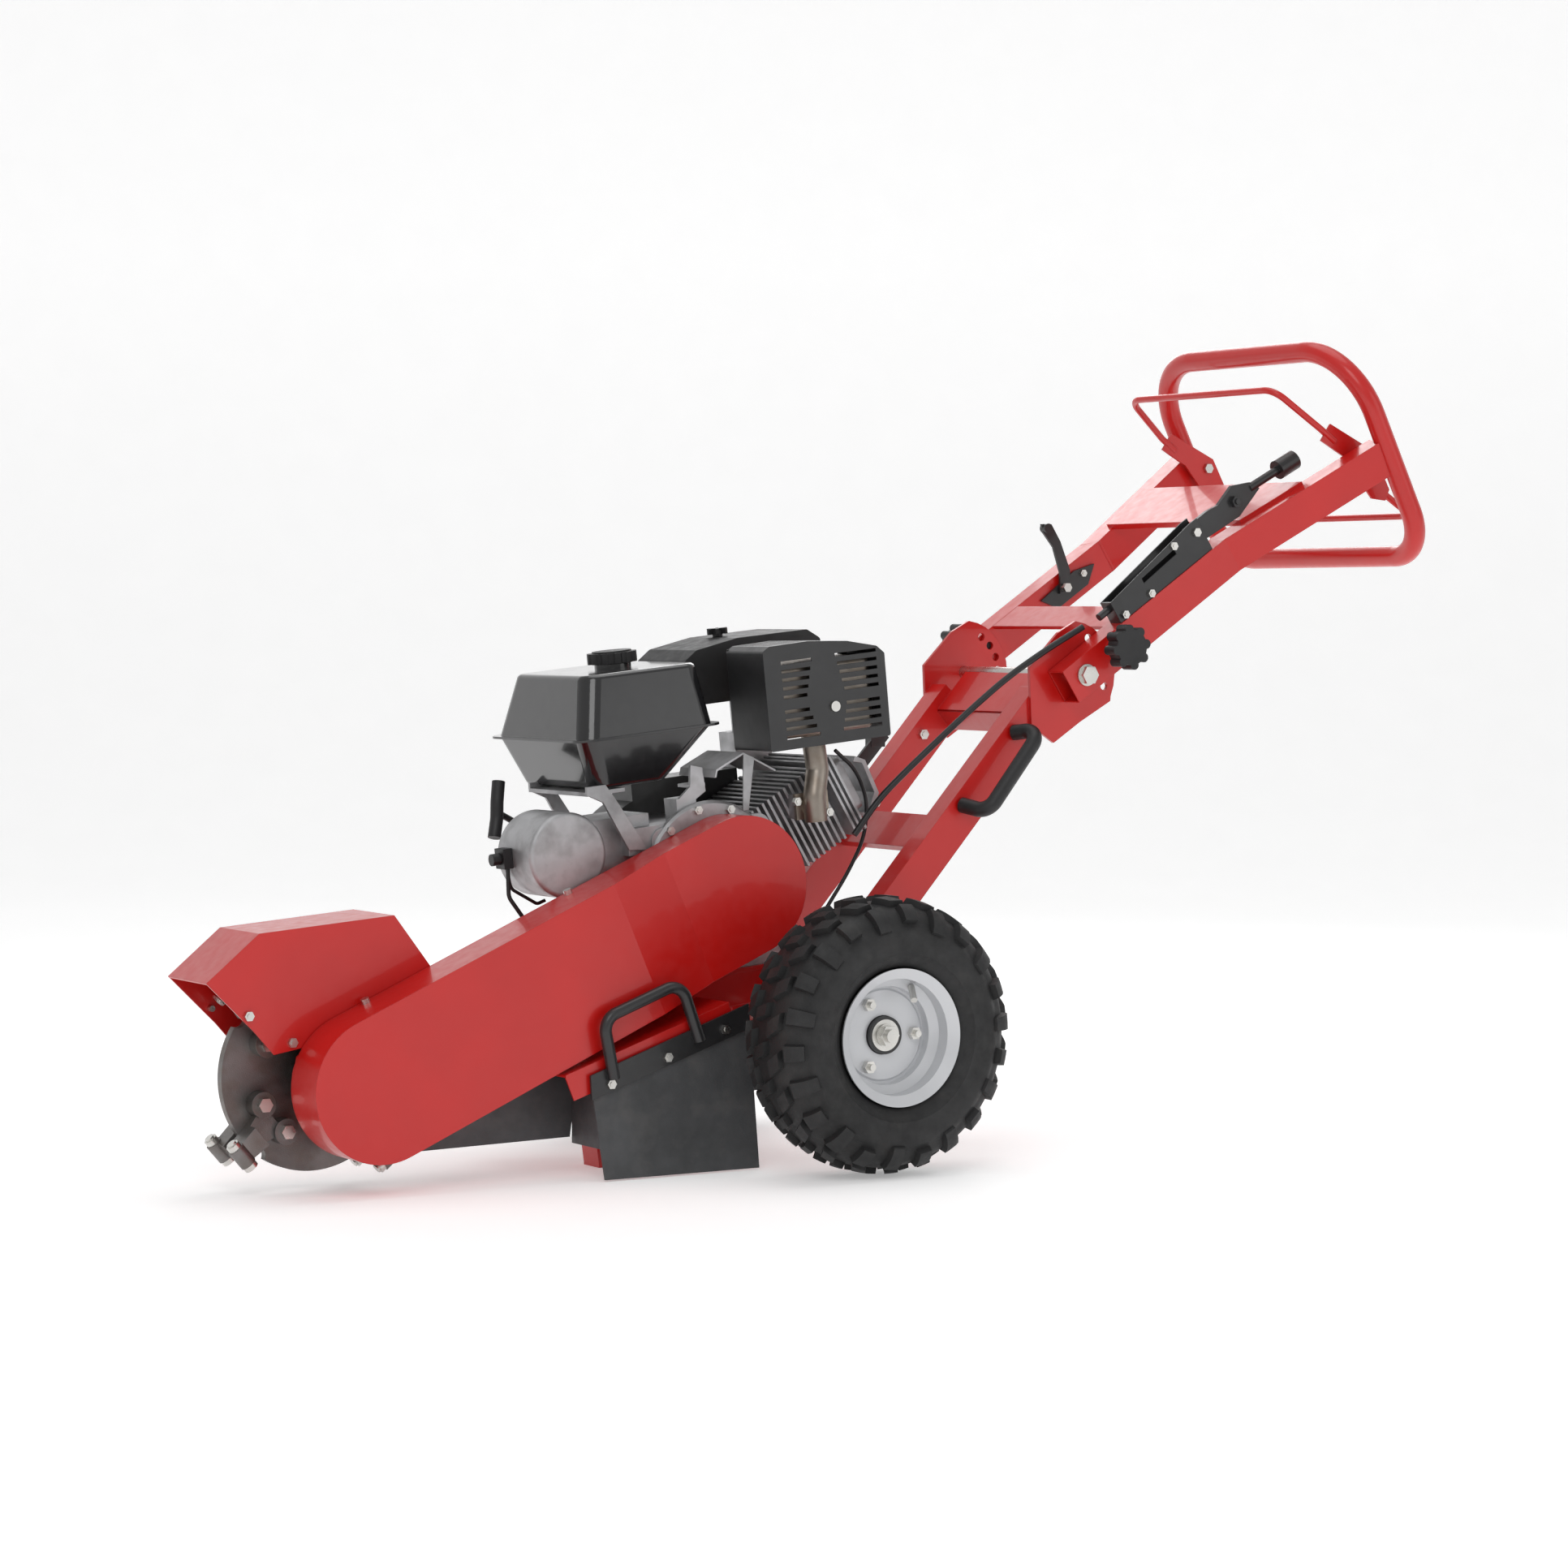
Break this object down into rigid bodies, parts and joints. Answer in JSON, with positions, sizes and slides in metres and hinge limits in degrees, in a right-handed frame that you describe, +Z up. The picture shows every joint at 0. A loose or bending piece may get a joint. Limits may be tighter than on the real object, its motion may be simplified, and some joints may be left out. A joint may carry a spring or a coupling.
{
  "type": "stump grinder",
  "caption": "Walk-behind stump grinder: petrol engine, belt-driven toothed cutter disc under a chip hood, two tyred wheels and a folding ring handle.",
  "frame": {"origin": "centre of the bottom of the bounding box, on the ground plane", "axes": "+X from the cutter to the operator's handle, +Y towards the side with the recoil starter, +Z up"},
  "size_m": [2.0664, 0.76, 1.2684],
  "materials": {
    "red_paint": "gloss",
    "black_paint": "semi-gloss",
    "rim_paint": "gloss",
    "cast_aluminium": "cast, matte",
    "steel": "zinc plated",
    "dark_steel": "worn",
    "tyre_rubber": "matte",
    "rubber_sheet": "matte",
    "black_plastic": "satin",
    "cable_sheath": "satin",
    "tank_paint": "gloss"
  },
  "bodies": {
    "chassis": {"air_cleaner": "black_plastic", "axle": "steel", "belt_cover": "red_paint", "brake_cable": "cable_sheath", "carburettor": "cast_aluminium", "chassis_fasteners": "steel", "chip_hood": "red_paint", "clutch_cable": "cable_sheath", "cover_backplate": "red_paint", "crankcase": "cast_aluminium", "cutter_bearings": "steel", "cylinder_head": "cast_aluminium", "engine_brackets": "cast_aluminium", "fan_housing": "black_paint", "flap_bar": "black_paint", "fuel_tank": "tank_paint", "grab_handle": "black_plastic", "lower_handle_frame": "red_paint", "main_frame": "red_paint", "muffler": "steel", "muffler_guard": "black_paint", "pivot_rod": "steel", "rear_brace": "black_paint", "recoil_cover": "black_paint", "rubber_flaps": "rubber_sheet", "starter_motor": "cast_aluminium", "switch_box": "black_plastic", "v_belts": "rubber_sheet", "wire_harness": "cable_sheath"},
    "wheel_left": {"tyre_left": "tyre_rubber", "rim_left": "rim_paint", "hub_left": "black_paint", "hub_bearings_left": "steel", "wheel_fasteners_left": "steel"},
    "wheel_right": {"tyre_right": "tyre_rubber", "rim_right": "rim_paint", "hub_right": "black_paint", "hub_bearings_right": "steel", "wheel_fasteners_right": "steel"},
    "cutter": {"cutter_shaft": "dark_steel", "cutter_disc": "dark_steel", "tooth_holders": "dark_steel", "cutter_teeth": "steel", "cutter_fasteners": "steel", "driven_pulley": "dark_steel"},
    "crank": {"crankshaft": "dark_steel", "clutch_pulley": "dark_steel"},
    "handle": {"upper_handle_frame": "red_paint", "ring_handlebar": "red_paint", "lever_brackets": "black_paint", "handle_fasteners": "steel"},
    "bail": {"presence_bail": "red_paint"},
    "brake": {"brake_lever": "black_paint"},
    "throttle": {"throttle_lever": "black_paint"},
    "knob_left": {"lock_knob_left": "black_plastic"},
    "knob_right": {"lock_knob_right": "black_plastic"},
    "filler_cap": {"fuel_cap": "black_plastic"},
    "starter_pull": {"pull_handle": "black_plastic"},
    "key_switch": {"switch_knob": "black_plastic"},
    "cleaner_nut": {"cleaner_knob": "black_plastic"}
  },
  "joints": [
    {"name": "wheel_left_spin", "type": "hinge", "parent": "chassis", "child": "wheel_left", "pos_m": [-0.06425, -0.3, 0.2087], "axis": [0, 1, 0], "continuous": true},
    {"name": "wheel_right_spin", "type": "hinge", "parent": "chassis", "child": "wheel_right", "pos_m": [-0.06425, 0.3, 0.2087], "axis": [0, 1, 0], "continuous": true},
    {"name": "cutter_spin", "type": "hinge", "parent": "chassis", "child": "cutter", "pos_m": [-0.84425, 0, 0.167], "axis": [0, 1, 0], "continuous": true},
    {"name": "crank_spin", "type": "hinge", "parent": "chassis", "child": "crank", "pos_m": [-0.19425, 0, 0.424], "axis": [0, 1, 0], "continuous": true},
    {"name": "handle_pitch", "type": "hinge", "parent": "chassis", "child": "handle", "pos_m": [0.38775, 0, 0.734], "axis": [0, 1, 0], "range_deg": [-19, 57]},
    {"name": "bail_squeeze", "type": "hinge", "parent": "handle", "child": "bail", "pos_m": [0.92775, 0, 1.076], "axis": [0, 1, 0], "range_deg": [0, 14]},
    {"name": "brake_pull", "type": "hinge", "parent": "handle", "child": "brake", "pos_m": [0.59983, -0.1775, 0.95712], "axis": [0, -1, 0], "range_deg": [0, 35]},
    {"name": "throttle_turn", "type": "hinge", "parent": "handle", "child": "throttle", "pos_m": [0.58175, 0.146, 0.872], "axis": [0, 1, 0], "range_deg": [-20, 35]},
    {"name": "knob_left_pull", "type": "slide", "parent": "handle", "child": "knob_left", "axis": [0, -1, 0], "range_m": [0, 0.012]},
    {"name": "knob_right_pull", "type": "slide", "parent": "handle", "child": "knob_right", "axis": [0, 1, 0], "range_m": [0, 0.012]},
    {"name": "fuel_cap_turn", "type": "hinge", "parent": "chassis", "child": "filler_cap", "pos_m": [-0.31636, 0.053, 0.76309], "axis": [-0.1045, 0, 0.9945], "range_deg": [0, 100]},
    {"name": "starter_pull_out", "type": "slide", "parent": "chassis", "child": "starter_pull", "axis": [-0.8763, -0.2499, 0.4119], "range_m": [0, 0.06]},
    {"name": "key_turn", "type": "hinge", "parent": "chassis", "child": "key_switch", "pos_m": [-0.53745, 0.01, 0.46535], "axis": [-0.9945, 0, -0.1045], "range_deg": [0, 90]},
    {"name": "cleaner_nut_turn", "type": "hinge", "parent": "chassis", "child": "cleaner_nut", "pos_m": [-0.09683, 0.112, 0.79823], "axis": [-0.1045, 0, 0.9945], "range_deg": [0, 180]}
  ],
  "couplings": [
    {"joint": "cutter_spin", "follows": "crank_spin", "ratio": 1.4286}
  ]
}
